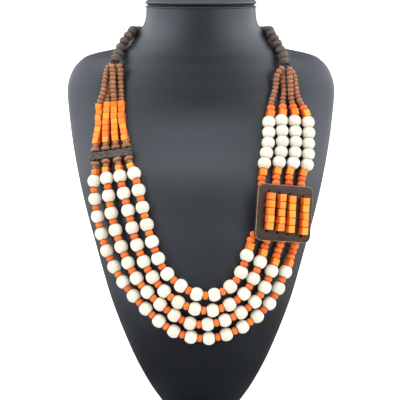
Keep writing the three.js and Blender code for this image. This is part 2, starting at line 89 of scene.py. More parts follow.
# %% [markdown]
# ## Camera and light
#
# A long lens at the height of the necklace looks down a little, as a shop photographer would, and
# keeps the bust from spreading. A wide soft sun stands almost overhead. The room round the bust is
# dark low down and grows lighter upwards, and a bright wall on each side puts a pale edge on the
# neck and the shoulders. The cover of the bust doesn't mirror the white floor, so its lower half
# stays almost black.

# %% Camera
PHOTO_SIZE = 400
SENSOR = 36
METRES_PER_PIXEL = 0.00077
TARGET = Vector((-0.00077, 0, 0.188))
RANGE = 1.2
FARTHEST_SEEN = 50
LOOK_DOWN = math.radians(9)

bpy.ops.object.camera_add(
    location=TARGET + RANGE * Vector((0, -math.cos(LOOK_DOWN), math.sin(LOOK_DOWN))),
    rotation=(math.pi / 2 - LOOK_DOWN, 0, 0),
)
camera = bpy.context.object
camera.data.sensor_width = SENSOR
camera.data.lens = SENSOR * RANGE / (PHOTO_SIZE * METRES_PER_PIXEL)
camera.data.clip_end = FARTHEST_SEEN
bpy.context.scene.camera = camera
print("lens", round(camera.data.lens, 1), "mm")

# %% [markdown]
# The floor is one plain sheet, so large that its edge lies far beyond the picture.

# %% Floor
FLOOR_SIZE = 40

bpy.ops.mesh.primitive_plane_add(size=FLOOR_SIZE, location=(0, 0, 0))
floor = bpy.context.object
floor.name = "studio_floor"
floor.visible_glossy = False

# %% Soft sun
KEY = {"energy": 1.3, "angle": 40, "tilt": 14, "turn": -10}

bpy.ops.object.light_add(
    type="SUN", rotation=(math.radians(KEY["tilt"]), 0, math.radians(KEY["turn"]))
)
key_light = bpy.context.object
key_light.data.energy = KEY["energy"]
key_light.data.angle = math.radians(KEY["angle"])

# %% Room with two bright walls
# Levels of the sky from straight down, at 0, to straight up, at 1.
SKY = [(0.0, 0.02), (0.4, 0.1), (0.5, 0.2), (0.6, 0.4), (0.75, 0.64), (1.0, 0.8)]
WALLS = {"from": 0.25, "to": 0.8, "level": 2.3, "low": -0.45, "high": 0.0}


def sky_level(room, up):
    """The sky's level for a direction, whose up part runs from -1 to 1."""
    height = reckon(room, "MULTIPLY", reckon(room, "ADD", up, 1), 0.5)
    ramp = room.nodes.new("ShaderNodeValToRGB")
    feed(room, ramp.inputs[0], height)
    stops = ramp.color_ramp.elements
    stops.remove(stops[1])
    for k, (place, level) in enumerate(SKY):
        stop = stops[0] if k == 0 else stops.new(place)
        stop.position = place
        stop.color = (level, level, level, 1)
    return ramp.outputs["Color"]


world = bpy.data.worlds.new("soft_room")
world.use_nodes = True
bpy.context.scene.world = world
room = world.node_tree
around = {0: coordinates(room, "Generated")}
up = add_node(room, "SeparateXYZ", around, output="Z")
sideways = reckon(room, "ABSOLUTE", add_node(room, "SeparateXYZ", around, output="X"))
walls = graded(room, sideways, WALLS["from"], WALLS["to"], 0, WALLS["level"])
walls = reckon(room, "MULTIPLY", walls, graded(room, up, WALLS["low"], WALLS["high"]))
level = reckon(room, "ADD", sky_level(room, up), walls)
feed(room, room.nodes["Background"].inputs["Color"], level)
bpy.context.scene.view_settings.view_transform = "Standard"

# %% [markdown]
# ## Making pieces
#
# Every piece starts from a primitive and is shaped in edit mode, as by hand. Blender's operators
# act on whatever is selected, so the helpers here select exactly one piece, and exactly the faces
# or edges that pass a test. A finished piece has its place in its mesh, rides on the one body, and
# the solid that it covers is hidden.

# %% Starting and selecting
def start(name, add, **settings):
    """Add a primitive as the only selected piece."""
    bpy.ops.object.select_all(action="DESELECT")
    add(**settings)
    piece = bpy.context.object
    piece.name = name
    piece.data.name = name
    return piece


def only(piece):
    bpy.ops.object.select_all(action="DESELECT")
    piece.select_set(True)
    bpy.context.view_layer.objects.active = piece


def edit(piece, mode="FACE"):
    only(piece)
    bpy.ops.object.mode_set(mode="EDIT")
    bpy.ops.mesh.select_mode(type=mode)


def done():
    bpy.ops.object.mode_set(mode="OBJECT")


def pick(piece, kind, test):
    """In edit mode, select only the faces or edges that pass a test."""
    bpy.ops.mesh.select_all(action="DESELECT")
    shape = bmesh.from_edit_mesh(piece.data)
    for item in getattr(shape, kind):
        if test(item):
            item.select_set(True)
    bmesh.update_edit_mesh(piece.data)

# %% Modifiers
def modify(piece, kind, **settings):
    """Add a modifier and apply it at once."""
    only(piece)
    added = piece.modifiers.new(kind.lower(), kind)
    for name, value in settings.items():
        setattr(added, name, value)
    bpy.ops.object.modifier_apply(modifier=added.name)


def soften(piece, width, segments, angle):
    """Bevel every edge that is sharper than an angle."""
    sharp = {"limit_method": "ANGLE", "angle_limit": math.radians(angle)}
    modify(piece, "BEVEL", width=width, segments=segments, **sharp)


def drill_through(piece, spots, depth, radius, sides=24):
    """Cut a round hole down through a piece at each spot."""
    for x, y in spots:
        drill = start(
            "drill", bpy.ops.mesh.primitive_cylinder_add,
            vertices=sides, radius=radius, depth=depth * 2, location=(x, y, 0),
        )
        bpy.ops.object.transform_apply(location=True)
        modify(piece, "BOOLEAN", operation="DIFFERENCE", object=drill, solver="EXACT")
        bpy.data.objects.remove(drill)

# %% Finishing and placing
def linked(name, corners, faces):
    """A piece from worked-out corners and faces, put into the scene."""
    mesh = bpy.data.meshes.new(name)
    mesh.from_pydata(corners, [], faces)
    piece = bpy.data.objects.new(name, mesh)
    bpy.context.scene.collection.objects.link(piece)
    return piece


def finish(piece, made, node, angle=35):
    """Set a piece's place, smoothness and finish, and hide the solid that it stands for."""
    only(piece)
    bpy.ops.object.transform_apply(location=True, rotation=True, scale=True)
    bpy.ops.object.shade_smooth_by_angle(angle=math.radians(angle))
    piece.data.materials.clear()
    piece.data.materials.append(made)
    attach(piece, "root")
    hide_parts(node)
    print(piece.name, "faces", len(piece.data.polygons))

# %% Boxes and stacked ovals
def boxed(name, size):
    """A cube brought to a size."""
    piece = start(name, bpy.ops.mesh.primitive_cube_add, size=1)
    piece.scale = size
    bpy.ops.object.transform_apply(location=False, rotation=False, scale=True)
    return piece


def stacked_ovals(name, sections, sides):
    """Extrude an oval disc upwards and fit it to each section: z, half width, half depth, centre."""
    z, wide, deep, centre = sections[0]
    piece = start(
        name, bpy.ops.mesh.primitive_circle_add, vertices=sides, radius=1, fill_type="NGON"
    )
    edit(piece)
    bpy.ops.mesh.select_all(action="SELECT")
    bpy.ops.transform.resize(value=(wide, deep, 1), center_override=(0, 0, 0))
    bpy.ops.transform.translate(value=(0, centre, z))
    for next_z, next_wide, next_deep, next_centre in sections[1:]:
        step = (0, next_centre - centre, next_z - z)
        bpy.ops.mesh.extrude_region_move(TRANSFORM_OT_translate={"value": step})
        middle = (0, next_centre, next_z)
        bpy.ops.transform.resize(
            value=(next_wide / wide, next_deep / deep, 1), center_override=middle
        )
        z, wide, deep, centre = next_z, next_wide, next_deep, next_centre
    bpy.ops.mesh.select_all(action="SELECT")
    bpy.ops.mesh.normals_make_consistent(inside=False)
    done()
    return piece

# %% [markdown]
# ## Finishes
#
# In each finish, patterns change the colour, the roughness and the fine height of the surface.
# Patterns on the bust read Object coordinates. Each bead carries two attributes instead,
# its place on the bead and a number of its own, so that the grain turns with the bead and no two
# beads are alike.

# %% Helpers for finishes
def tint(red, green, blue):
    """A screen colour from 0 to 255 as linear light."""
    shares = (c / 255 for c in (red, green, blue))
    return tuple(((s + 0.055) / 1.055) ** 2.4 if s > 0.04 else s / 12.92 for s in shares) + (1,)


def new_finish(name, colour, roughness, **shader_values):
    made = bpy.data.materials.new(name)
    made.use_nodes = True
    made.diffuse_color = colour
    shader = made.node_tree.nodes["Principled BSDF"]
    shader.inputs["Base Color"].default_value = colour
    shader.inputs["Roughness"].default_value = roughness
    for key, value in shader_values.items():
        shader.inputs[key.replace("_", " ")].default_value = value
    return made, made.node_tree, shader


def dress(tree, shader, **patterns):
    """Feed patterns to the shader's sockets."""
    for name, pattern in patterns.items():
        feed(tree, shader.inputs[name.replace("_", " ")], pattern)


def stretched(tree, vector, scale):
    """Coordinates multiplied by one number for each axis."""
    return add_node(tree, "Mapping", {"Vector": vector, "Scale": scale})


def cloudy(tree, vector, scale, detail=3):
    return add_node(tree, "TexNoise", {"Vector": vector, "Scale": scale, "Detail": detail})


def cells(tree, vector, scale):
    return add_node(tree, "TexVoronoi", {"Vector": vector, "Scale": scale}, output="Distance")


def mixed(tree, share, first, second):
    """One colour laid over another by a share from 0 to 1."""
    return add_node(tree, "Mix", {0: share, 6: first, 7: second}, output=2, data_type="RGBA")


def relief(tree, height, depth, strength=1.0, under=None):
    """A height pattern as bump, in metres from its lowest to its highest."""
    inputs = {"Strength": strength, "Distance": depth, "Height": height}
    if under is not None:
        inputs["Normal"] = under
    return add_node(tree, "Bump", inputs)

# %% What a bead carries
GRAIN_SHIFT = (31, 57, 83)


def carried(tree, name, output="Vector"):
    """An attribute that the mesh carries."""
    return add_node(tree, "Attribute", {}, output=output, attribute_name=name)


def own_place(tree):
    """A bead's own coordinates, the same shifted by its number for the grain, and the number."""
    place = carried(tree, "place")
    shifts = {0: carried(tree, "number"), 1: GRAIN_SHIFT, 2: place}
    grain = add_node(tree, "VectorMath", shifts, operation="MULTIPLY_ADD")
    return place, grain, carried(tree, "number", "Fac")


def from_thread(tree, place):
    """How far a point of a bead lies from its thread, as a share of its half width."""
    flat = add_node(tree, "VectorMath", {0: place, 1: (1, 1, 0)}, operation="MULTIPLY")
    return add_node(tree, "VectorMath", {0: flat}, output="Value", operation="LENGTH")

# %% [markdown]
# The cover of the bust is dark leatherette. Its colour is nearly even, so the eye reads it from its
# sheen: fine pebbles and creases stand in relief, and patches of a slightly different roughness
# break up the reflection of the bright walls.

# %% Leatherette of the bust
def leatherette():
    made, tree, shader = new_finish(
        "dark_leatherette", tint(40, 41, 44), 0.46,
        Specular_IOR_Level=0.8, Specular_Tint=(0.82, 0.9, 1, 1),
    )
    place = coordinates(tree, "Object")
    pebbles = cells(tree, place, 950)
    creases = cloudy(tree, place, 420, 5)
    patches = cloudy(tree, place, 14, 4)
    colour = mixed(tree, graded(tree, patches, 0.35, 0.65), tint(19, 21, 26), tint(25, 27, 33))
    # Painted shade: the colour darkens in the grooves between the pebbles.
    colour = mixed(tree, graded(tree, pebbles, 0.45, 0.75, 0, 0.5), colour, tint(15, 15, 17))
    fine = relief(tree, pebbles, -0.00006, 0.5)
    dress(
        tree, shader, Base_Color=colour,
        Roughness=graded(tree, patches, 0.3, 0.7, 0.43, 0.5),
        Normal=relief(tree, creases, 0.00005, 0.5, fine),
    )
    return made


leather = leatherette()

# %% [markdown]
# The ivory beads are painted wood: an even warm white with faint grain and a few pores, with painted
# shade in the hole and on the flat round its mouth, where the next bead touches. The orange ones are
# dyed, so the grain shows through the colour, with the same painted shade at the hole. The flat sides
# of the small blocks are painted a darker, redder orange than their fronts, as painted shade.

# %% Paint and dye of the beads
def ivory_paint():
    made, tree, shader = new_finish("ivory_paint", tint(226, 221, 200), 0.5)
    place, grain, number = own_place(tree)
    streaks = cloudy(tree, stretched(tree, grain, (5, 5, 1.2)), 1.6, 4)
    pores = cells(tree, grain, 4.5)
    colour = mixed(tree, number, tint(214, 211, 198), tint(204, 198, 182))
    colour = mixed(tree, graded(tree, streaks, 0.5, 0.8, 0, 0.45), colour, tint(205, 194, 160))
    colour = mixed(tree, graded(tree, pores, 0.1, 0.04, 0, 0.5), colour, tint(150, 130, 96))
    # Painted shade: darker in the hole and on the flat round its mouth, where the next bead touches.
    rim = graded(tree, from_thread(tree, place), 0.34, 0.2, 0, 0.85)
    dress(
        tree, shader, Base_Color=mixed(tree, rim, colour, tint(120, 84, 50)),
        Roughness=graded(tree, streaks, 0.3, 0.8, 0.42, 0.6),
        Normal=relief(tree, streaks, 0.00012, 0.4),
    )
    return made


def orange_dye():
    made, tree, shader = new_finish("orange_dye", tint(236, 108, 34), 0.42, Specular_IOR_Level=0.3)
    place, grain, number = own_place(tree)
    streaks = cloudy(tree, stretched(tree, grain, (6, 6, 1)), 1.5, 4)
    colour = mixed(tree, number, tint(212, 86, 24), tint(232, 120, 42))
    colour = mixed(tree, graded(tree, streaks, 0.45, 0.8, 0, 0.6), colour, tint(196, 78, 18))
    # Painted shade: darker in the hole and round its mouth, where the next bead touches.
    rim = graded(tree, from_thread(tree, place), 0.42, 0.28, 0, 0.9)
    dress(
        tree, shader, Base_Color=mixed(tree, rim, colour, tint(70, 26, 10)),
        Roughness=graded(tree, streaks, 0.3, 0.8, 0.36, 0.55),
        Normal=relief(tree, streaks, 0.00012, 0.4),
    )
    return made


def block_dye():
    made, tree, shader = new_finish("block_dye", tint(246, 140, 42), 0.45, Specular_IOR_Level=0.3)
    place, grain, number = own_place(tree)
    across = add_node(tree, "SeparateXYZ", {0: place}, output="X")
    # Painted shade: the two flat sides across the block are a darker, redder orange than its fronts.
    sides = graded(tree, reckon(tree, "ABSOLUTE", across), 0.8, 0.98)
    streaks = cloudy(tree, stretched(tree, grain, (7, 7, 1.2)), 1.4, 4)
    front = mixed(tree, number, tint(226, 112, 30), tint(244, 154, 50))
    colour = mixed(tree, sides, front, tint(218, 98, 26))
    colour = mixed(tree, graded(tree, streaks, 0.5, 0.8, 0, 0.5), colour, tint(206, 84, 18))
    dress(
        tree, shader, Base_Color=colour,
        Roughness=graded(tree, streaks, 0.3, 0.8, 0.4, 0.58),
        Normal=relief(tree, streaks, 0.00014, 0.5),
    )
    return made


ivory = ivory_paint()
orange = orange_dye()
amber = block_dye()

# %% [markdown]
# The brown pieces are waxed wood. Small beads are a warm brown that shines on top, large beads are
# darker with open grain, and both have nearly black painted shade in the hole and round its mouth.
# The bar is a coarse palm wood full of pale flecks. The plaque has a darker stain and is lightly
# scratched. Along the bevel of the plaque and of the bar a pale band is wear and a painted highlight.

# %% Brown woods
def brown_wood(name, dark, pale, rough, grain_depth, grain_scale):
    made, tree, shader = new_finish(name, pale, rough)
    place, grain, number = own_place(tree)
    streaks = cloudy(tree, stretched(tree, grain, (grain_scale, grain_scale, 0.8)), 1.7, 6)
    veins = graded(tree, streaks, 0.38, 0.68)
    colour = mixed(tree, veins, dark, pale)
    colour = mixed(tree, reckon(tree, "MULTIPLY", number, 0.4), colour, dark)
    # Painted shade: nearly black in the hole and round its mouth, where the next bead touches.
    rim = graded(tree, from_thread(tree, place), 0.42, 0.28, 0, 0.9)
    dress(
        tree, shader, Base_Color=mixed(tree, rim, colour, tint(20, 13, 9)),
        Roughness=graded(tree, streaks, 0.3, 0.8, rough + 0.08, rough - 0.06),
        Normal=relief(tree, veins, grain_depth, 0.6),
    )
    return made


def board_wood(name, dark, pale, edge, rough, grain_scale, fleck, fleck_scale):
    """Wood of a flat board, whose place is in metres from its middle."""
    made, tree, shader = new_finish(name, dark, rough, Specular_IOR_Level=0.25)
    place = carried(tree, "place")
    streaks = cloudy(tree, stretched(tree, place, grain_scale), 1, 6)
    colour = mixed(tree, graded(tree, streaks, 0.4, 0.66), dark, pale)
    flecks = cloudy(tree, stretched(tree, place, fleck_scale), 1, 2)
    colour = mixed(tree, graded(tree, flecks, 0.6, 0.72, 0, 0.75), colour, fleck)
    # The pale band on the bevel, in the edge colour, is wear and a painted highlight.
    patchy = graded(tree, streaks, 0.3, 0.6, 0.5, 1.0)
    bevel_wear_and_highlight_share = reckon(tree, "MULTIPLY", carried(tree, "worn", "Fac"), patchy)
    fine = relief(tree, flecks, 0.0001, 0.5)
    dress(
        tree, shader, Base_Color=mixed(tree, bevel_wear_and_highlight_share, colour, edge),
        Roughness=graded(tree, streaks, 0.35, 0.7, rough - 0.08, rough + 0.08),
        Normal=relief(tree, streaks, 0.0001, 0.5, fine),
    )
    return made


small_brown = brown_wood("waxed_brown", tint(104, 58, 36), tint(204, 140, 98), 0.28, 0.0001, 6)
large_brown = brown_wood("dark_open_grain", tint(22, 15, 13), tint(126, 108, 98), 0.34, 0.0004, 5)
# The third colour of each board is its pale bevel band: wear and a painted highlight.
plaque_wood = board_wood(
    "plaque_wood", tint(42, 27, 20), tint(62, 44, 33), tint(150, 128, 108), 0.42,
    (90, 520, 520), tint(96, 78, 64), (2600, 260, 900),
)
bar_wood = board_wood(
    "palm_wood", tint(48, 42, 40), tint(84, 77, 73), tint(110, 100, 92), 0.55,
    (260, 900, 900), tint(150, 142, 134), (1500, 3200, 3200),
)

# %% [markdown]
# The threads are dark and waxed, with fine fibres. The clasp is brass, brushed along its length and
# tarnished in patches, where it is also duller.

# %% Thread and clasp
def waxed_thread():
    made, tree, shader = new_finish("waxed_thread", tint(52, 34, 26), 0.6)
    fibres = cloudy(tree, coordinates(tree, "Object"), 2600, 3)
    colour = mixed(tree, graded(tree, fibres, 0.35, 0.7), tint(20, 14, 11), tint(44, 30, 24))
    dress(tree, shader, Base_Color=colour, Normal=relief(tree, fibres, 0.00008, 0.6))
    return made


def clasp_brass():
    made, tree, shader = new_finish("clasp_brass", tint(186, 148, 86), 0.32, Metallic=1.0)
    place = coordinates(tree, "Object")
    brushed = cloudy(tree, stretched(tree, place, (300, 4000, 4000)), 1, 3)
    tarnish = cloudy(tree, place, 260, 4)
    colour = mixed(tree, graded(tree, tarnish, 0.45, 0.75), tint(190, 152, 88), tint(128, 94, 50))
    dress(
        tree, shader, Base_Color=colour,
        Roughness=graded(tree, tarnish, 0.4, 0.75, 0.26, 0.46),
        Normal=relief(tree, brushed, 0.00003, 0.5),
    )
    return made


thread_finish = waxed_thread()
brass = clasp_brass()

# %% Floor finish
def studio_paper():
    made, tree, shader = new_finish("studio_paper", tint(248, 248, 248), 0.9)
    pulp = cloudy(tree, coordinates(tree, "Object"), 40, 3)
    dress(tree, shader, Base_Color=mixed(tree, pulp, tint(247, 247, 247), tint(250, 250, 250)))
    return made


floor.data.materials.append(studio_paper())

# %% [markdown]
# ## The bust
#
# The real bust is a light form under dark leatherette. Its level sections are known at a few
# heights, and smooth curves run through them. An oval disc is extruded upwards many times, and each
# of its points is then pushed out to the surface, which a plain scaling couldn't do where the round
# neck grows out of the flat shoulders.

# %% Sections of the bust
BUST_COLUMNS = ("z", "half_width", "centre", "chest", "back", "neck", "neck_chest", "neck_back")
BUST_ROWS = [
    (0.03, 0.029, -0.007, 0.02, 0.02, 0, 0, 0),
    (0.044, 0.0385, -0.007, 0.03, 0.027, 0, 0, 0),
    (0.061, 0.048, -0.006, 0.041, 0.032, 0, 0, 0),
    (0.077, 0.0554, -0.005, 0.048, 0.035, 0, 0, 0),
    (0.099, 0.0643, -0.003, 0.055, 0.038, 0, 0, 0),
    (0.12, 0.0715, -0.002, 0.0575, 0.0395, 0, 0, 0),
    (0.159, 0.0823, 0.001, 0.056, 0.041, 0, 0, 0),
    (0.18, 0.088, 0.003, 0.053, 0.0415, 0, 0, 0),
    (0.206, 0.094, 0.006, 0.0485, 0.0415, 0, 0, 0),
    (0.233, 0.0989, 0.01, 0.038, 0.04, 0.06, 0, 0),
    (0.255, 0.1017, 0.014, 0.031, 0.037, 0.059, 0.014, 0.014),
    (0.27, 0.103, 0.017, 0.028, 0.034, 0.061, 0.0244, 0.025),
    (0.279, 0.102, 0.0185, 0.027, 0.031, 0.064, 0.0276, 0.03),
    (0.289, 0.0976, 0.02, 0.023, 0.026, 0.067, 0.0321, 0.0345),
    (0.296, 0.0906, 0.021, 0.0165, 0.018, 0.068, 0.0352, 0.037),
    (0.2982, 0.086, 0.0214, 0.0125, 0.013, 0.068, 0.0363, 0.0377),
    (0.3002, 0.079, 0.0218, 0.0085, 0.009, 0.0675, 0.037, 0.0383),
    (0.3016, 0.072, 0.0221, 0.005, 0.005, 0.0666, 0.0373, 0.0386),
    (0.3032, 0.0652, 0.0224, 0.0015, 0.0015, 0.0648, 0.0376, 0.0388),
    (0.306, 0.06, 0.0228, 0, 0, 0.06, 0.0379, 0.039),
    (0.31, 0.0548, 0.023, 0, 0, 0.0548, 0.038, 0.039),
    (0.314, 0.0495, 0.023, 0, 0, 0.0495, 0.038, 0.039),
    (0.318, 0.0462, 0.023, 0, 0, 0.0462, 0.038, 0.039),
    (0.325, 0.043, 0.023, 0, 0, 0.043, 0.038, 0.039),
    (0.3358, 0.042, 0.023, 0, 0, 0.042, 0.038, 0.039),
]
CHEST_POWER = 2.3
BLEND_POWER = 3
print("bust from", BUST_ROWS[0][0], "to", BUST_ROWS[-1][0], "m")

# %% Surface of the bust
def bust_value(column, z):
    """One column of the table at any height, as a smooth curve through its rows."""
    c = BUST_COLUMNS.index(column)
    last = len(BUST_ROWS) - 1
    height = min(max(z, BUST_ROWS[0][0]), BUST_ROWS[last][0])
    i = 0
    while i < last - 1 and BUST_ROWS[i + 1][0] < height:
        i += 1

    def slope(k):
        before = BUST_ROWS[max(k - 1, 0)]
        after = BUST_ROWS[min(k + 1, last)]
        return (after[c] - before[c]) / (after[0] - before[0])

    step = BUST_ROWS[i + 1][0] - BUST_ROWS[i][0]
    t = (height - BUST_ROWS[i][0]) / step
    low = (2 * t**3 - 3 * t**2 + 1) * BUST_ROWS[i][c] + (t**3 - 2 * t**2 + t) * step * slope(i)
    high = (3 * t**2 - 2 * t**3) * BUST_ROWS[i + 1][c] + (t**3 - t**2) * step * slope(i + 1)
    return low + high


def bust_depth(x, z, side):
    """Depth of the bust from its centre plane, towards its chest or its back."""
    across = min(abs(x) / bust_value("half_width", z), 1)
    torso = max(bust_value(side, z), 0) * (1 - across**CHEST_POWER) ** (1 / CHEST_POWER)
    neck = bust_value("neck", z)
    inside = min(abs(x) / neck, 1) if neck > 0 else 1
    round_part = max(bust_value("neck_" + side, z), 0) * math.sqrt(1 - inside * inside)
    return (torso**BLEND_POWER + round_part**BLEND_POWER) ** (1 / BLEND_POWER)


def chest_y(x, z):
    return bust_value("centre", z) - bust_depth(x, z, "chest")


def outward(x, z):
    """The chest's outward direction, from the slopes of its surface."""
    step = 0.001
    across_x = (chest_y(x + step, z) - chest_y(x - step, z)) / (2 * step)
    across_z = (chest_y(x, z + step) - chest_y(x, z - step)) / (2 * step)
    return Vector((across_x, -1, across_z))


def on_chest(x, z, lift):
    return Vector((x, chest_y(x, z) - lift * outward(x, z).length, z))


print("chest at the middle of the loop:", round(chest_y(0, 0.15), 4))

# %% Body of the bust
BUST_SIDES = 144
LEVEL_STEP = 0.0024
NARROWING_STEP = 0.0016
END_INSET = 0.003
ON_SEAM = 1e-6


def bust_levels():
    """Heights for the rings, closer together where the shoulder turns into the neck."""
    levels = [BUST_ROWS[0][0]]
    for low, high in zip(BUST_ROWS, BUST_ROWS[1:]):
        steps = math.ceil(max((high[0] - low[0]) / LEVEL_STEP, abs(high[1] - low[1]) / NARROWING_STEP))
        levels += [low[0] + (high[0] - low[0]) * (k + 1) / steps for k in range(steps)]
    return levels


def bust_body():
    piece = stacked_ovals("bust_body", [(z, 1, 1, 0) for z in bust_levels()], BUST_SIDES)
    for point in piece.data.vertices:
        x, y, z = point.co
        wide = bust_value("half_width", z) * x
        depth = bust_depth(wide, z, "chest" if y < 0 else "back")
        if abs(y) < ON_SEAM:
            depth = 0
        point.co = (wide, bust_value("centre", z) + math.copysign(depth, y), z)
    edit(piece)
    pick(piece, "faces", lambda face: abs(face.normal.z) > 0.9 and len(face.verts) > 4)
    bpy.ops.mesh.inset(thickness=END_INSET)
    bpy.ops.mesh.poke()
    done()
    return piece


finish(bust_body(), leather, "neck_bust", angle=50)

# %% [markdown]
# The neck ends in a low cap with a rounded rim and a groove under it, and a thin piped edge runs
# round the neck just below the groove. The photo stops above the cap's edge and below the waist, so
# the cap's top and the foot are plain turned shapes in the same cover.

# %% Profiles of the cap and the foot
# Each section of the foot is z, half width, half depth and centre, each of the cap z and half width.
OVAL_SIDES = 128
CAP_CENTRE = 0.0235
CAP_OVAL = 0.0035
CAP_PROFILE = [
    (0.3361, 0.0412), (0.337, 0.0412), (0.3372, 0.0421), (0.3378, 0.0427), (0.3384, 0.0429), (0.339, 0.0428),
    (0.3394, 0.0424), (0.3404, 0.041), (0.3414, 0.0387), (0.3422, 0.0358), (0.343, 0.031),
]
CAP_SECTIONS = [(z, wide, wide - CAP_OVAL, CAP_CENTRE) for z, wide in CAP_PROFILE]
FOOT_SECTIONS = [
    (0, 0.08, 0.074, 0), (0.004, 0.08, 0.074, 0), (0.007, 0.074, 0.068, 0), (0.011, 0.05, 0.044, -0.002),
    (0.016, 0.033, 0.025, -0.005), (0.022, 0.0286, 0.02, -0.007), (0.0296, 0.0286, 0.0198, -0.007),
]
FLAT_INSET = 0.004
MANY_CORNERS = 20


def rounded(piece, width, segments):
    """Bevel a turned shape's rings and close its flat ends with a ring of triangles."""
    soften(piece, width, segments, 12)
    edit(piece)
    pick(piece, "faces", lambda face: len(face.verts) > MANY_CORNERS)
    bpy.ops.mesh.inset(thickness=FLAT_INSET)
    bpy.ops.mesh.poke()
    done()
    return piece

# %% A tube along points
def tube(name, points, radius, sides, closed=False, lobes=0, pitch=1.0, depth=0.0):
    """A tube along worked-out points, in mesh code. Lobes twist it like a plied thread."""
    rings = []
    travelled = 0
    count = len(points)
    turn_from = Vector((0, 0, 1))
    for k, middle in enumerate(points):
        before = points[(k - 1) % count] if closed or k else middle
        after = points[(k + 1) % count] if closed or k < count - 1 else middle
        along = (after - before).normalized()
        sideways = turn_from - along * turn_from.dot(along)
        if sideways.length < 0.1:
            sideways = along.orthogonal()
        sideways.normalize()
        turn_from = sideways
        front = along.cross(sideways)
        travelled += (middle - points[k - 1]).length if k else 0
        ring = []
        for s in range(sides):
            angle = 2 * math.pi * s / sides
            reach = radius * (1 + depth * math.cos(lobes * (angle - 2 * math.pi * travelled / pitch)))
            ring.append(middle + reach * (math.cos(angle) * sideways + math.sin(angle) * front))
        rings.append(ring)
    corners = [tuple(p) for ring in rings for p in ring]
    faces = []
    for k in range(count if closed else count - 1):
        for s in range(sides):
            a, b = k * sides, (k + 1) % count * sides
            faces.append((a + s, a + (s + 1) % sides, b + (s + 1) % sides, b + s))
    if not closed:
        faces.append(tuple(reversed(range(sides))))
        faces.append(tuple((count - 1) * sides + s for s in range(sides)))
    return linked(name, corners, faces)

# %% Cap, foot and piping
PIPING = {"z": 0.3352, "radius": 0.0006, "out": 0.0002, "sides": 10}


def piping_loop():
    """Points round the neck's rim at the piping's height, pushed out a little."""
    z = PIPING["z"]
    loop = []
    for k in range(OVAL_SIDES):
        angle = 2 * math.pi * k / OVAL_SIDES
        side = "chest" if math.sin(angle) < 0 else "back"
        wide = (bust_value("half_width", z) + PIPING["out"]) * math.cos(angle)
        deep = (bust_value("neck_" + side, z) + PIPING["out"]) * math.sin(angle)
        loop.append(Vector((wide, bust_value("centre", z) + deep, z)))
    return loop


for name, sections, rim, steps, node in (
    ("cap_of_neck", CAP_SECTIONS, 0.0006, 3, "bust_cap"),
    ("foot_of_bust", FOOT_SECTIONS, 0.0012, 4, "bust_foot"),
):
    turned = rounded(stacked_ovals(name, sections, OVAL_SIDES), rim, steps)
    finish(turned, leather, node)
piping = tube("neck_piping", piping_loop(), PIPING["radius"], PIPING["sides"], closed=True)
finish(piping, leather, "neck_bust")

# %% [markdown]
# ## The beads
#
# Each kind of bead is turned and drilled once. A ball is squashed and its two ends are bisected
# flat, the flats are inset to the size of the drill, the two small rounds are bridged through the
# bead, and their rims are bevelled. The blocks are bevelled cubes with a hole cut by a modifier.
# Copies are then laid along the threads.

# %% Sizes of the beads
# The flat is the share of the half width that is cut flat at each end, the hole is a radius.
BEADS = {
    "white": {"across": 0.0104, "along": 0.0088, "flat": 0.56, "hole": 0.0009, "rim": 0.0003},
    "white_short": {"across": 0.0102, "along": 0.0081, "flat": 0.58, "hole": 0.0009, "rim": 0.0003},
    "spacer": {"across": 0.0061, "along": 0.0041, "flat": 0.68, "hole": 0.0007, "rim": 0.0004},
    "round": {"across": 0.0063, "along": 0.0043, "flat": 0.68, "hole": 0.0007, "rim": 0.0004},
    "small": {"across": 0.0049, "along": 0.003, "flat": 0.68, "hole": 0.0006, "rim": 0.00035},
    "flat": {"across": 0.0072, "along": 0.003, "flat": 0.7, "hole": 0.0007, "rim": 0.0004},
    "large": {"across": 0.008, "along": 0.0054, "flat": 0.64, "hole": 0.0009, "rim": 0.0005},
    "cube": {"across": 0.005, "along": 0.0044, "hole": 0.0007},
    "block": {"across": 0.0054, "along": 0.0052, "hole": 0.0007},
}
SEGMENTS = 24
RINGS = 14
BLOCK_RIM = 0.00035
BLOCK_HOLE_SIDES = 12
CLOSE = 1e-5
SAME = 1e-6

# %% One bead of each kind
def turned_bead(kind):
    size = BEADS[kind]
    radius, half, hole = size["across"] / 2, size["along"] / 2, size["hole"]
    squash = half / (radius * math.sqrt(1 - size["flat"] ** 2))
    piece = start(
        "pattern_" + kind, bpy.ops.mesh.primitive_uv_sphere_add,
        segments=SEGMENTS, ring_count=RINGS, radius=radius,
    )
    edit(piece)
    bpy.ops.mesh.select_all(action="SELECT")
    bpy.ops.transform.resize(value=(1, 1, squash), center_override=(0, 0, 0))
    for end in (-1, 1):
        bpy.ops.mesh.select_all(action="SELECT")
        bpy.ops.mesh.bisect(
            plane_co=(0, 0, end * half), plane_no=(0, 0, end), use_fill=True, clear_outer=True
        )

    def at_end(z):
        return abs(abs(z) - half) < CLOSE

    def is_flat(face):
        return abs(face.normal.z) > 0.99 and at_end(face.calc_center_median().z)

    pick(piece, "faces", is_flat)
    bpy.ops.mesh.inset(thickness=radius * size["flat"] - hole)
    bpy.ops.mesh.bridge_edge_loops()
    bpy.ops.mesh.select_mode(type="EDGE")

    def on_rim(edge):
        """Whether an edge runs round the drill's mouth or round the flat."""
        near, far = sorted(point.co.xy.length for point in edge.verts)
        mouth = near > hole * 0.8 and far < hole * 1.2
        return all(at_end(point.co.z) for point in edge.verts) and (
            mouth or near > hole * 1.5 and far - near < SAME
        )

    pick(piece, "edges", on_rim)
    bpy.ops.mesh.bevel(offset=size["rim"], segments=2)
    bpy.ops.mesh.select_all(action="SELECT")
    bpy.ops.mesh.normals_make_consistent(inside=False)
    done()
    return piece


